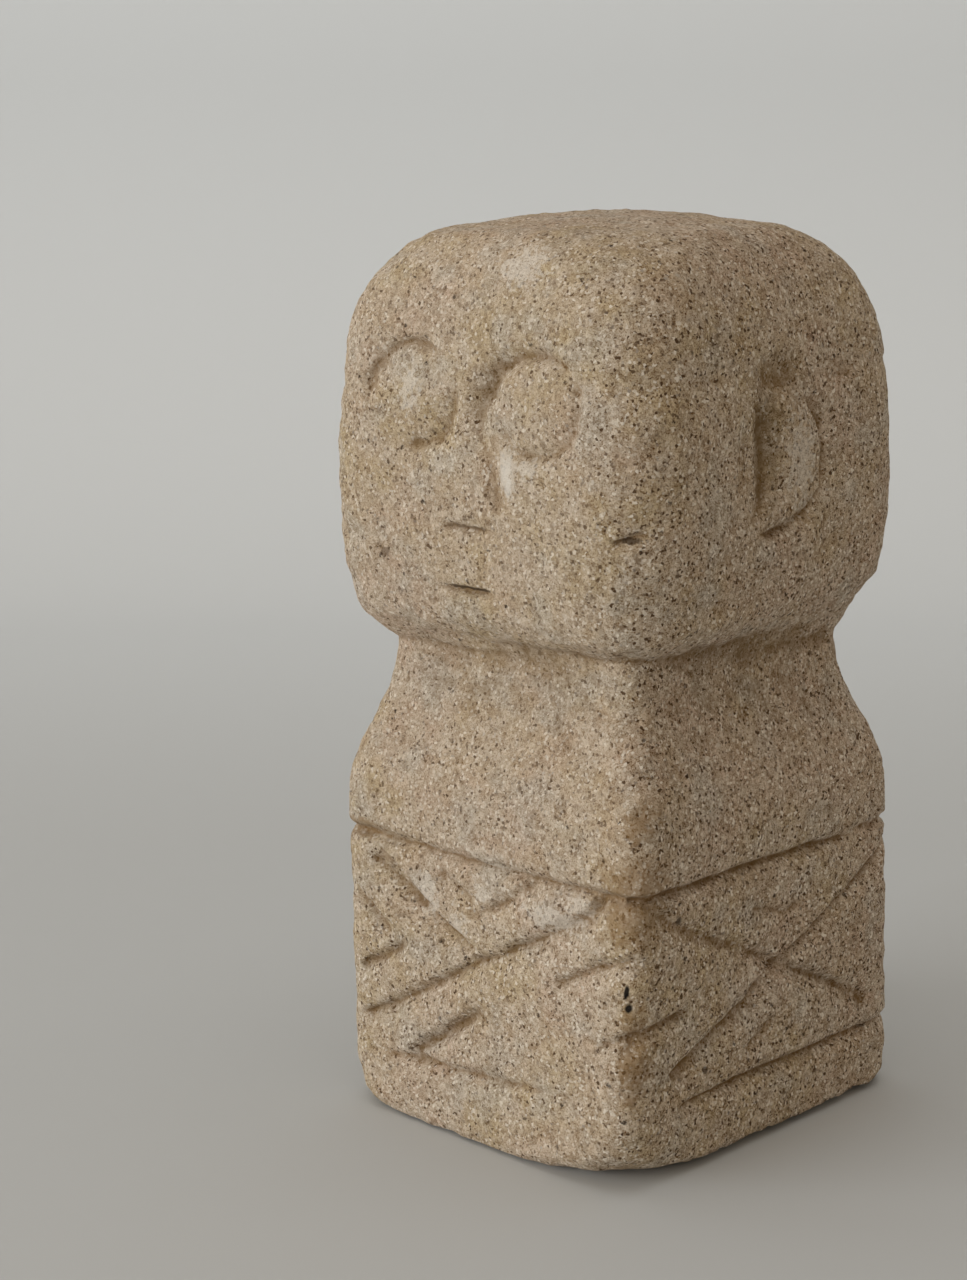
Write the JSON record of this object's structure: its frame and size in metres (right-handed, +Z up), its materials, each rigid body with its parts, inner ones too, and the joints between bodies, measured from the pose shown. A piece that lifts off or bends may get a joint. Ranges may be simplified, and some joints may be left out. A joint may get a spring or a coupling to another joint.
{
  "type": "stone man figurine",
  "caption": "Squared sandstone figurine of a man: pillow-shaped head with round eyes and half-moon ears on a torso with a carved band of crossed lines.",
  "frame": {"origin": "middle of the footprint on the underside, where the figurine meets the surface that it stands on", "axes": "+Z up along the figure, face looking along -Y, ears on the -X and +X sides"},
  "size_m": [0.0834, 0.0866, 0.18],
  "materials": {
    "sandstone": "matte"
  },
  "bodies": {
    "root": {"stone_figure": "sandstone"}
  },
  "joints": []
}
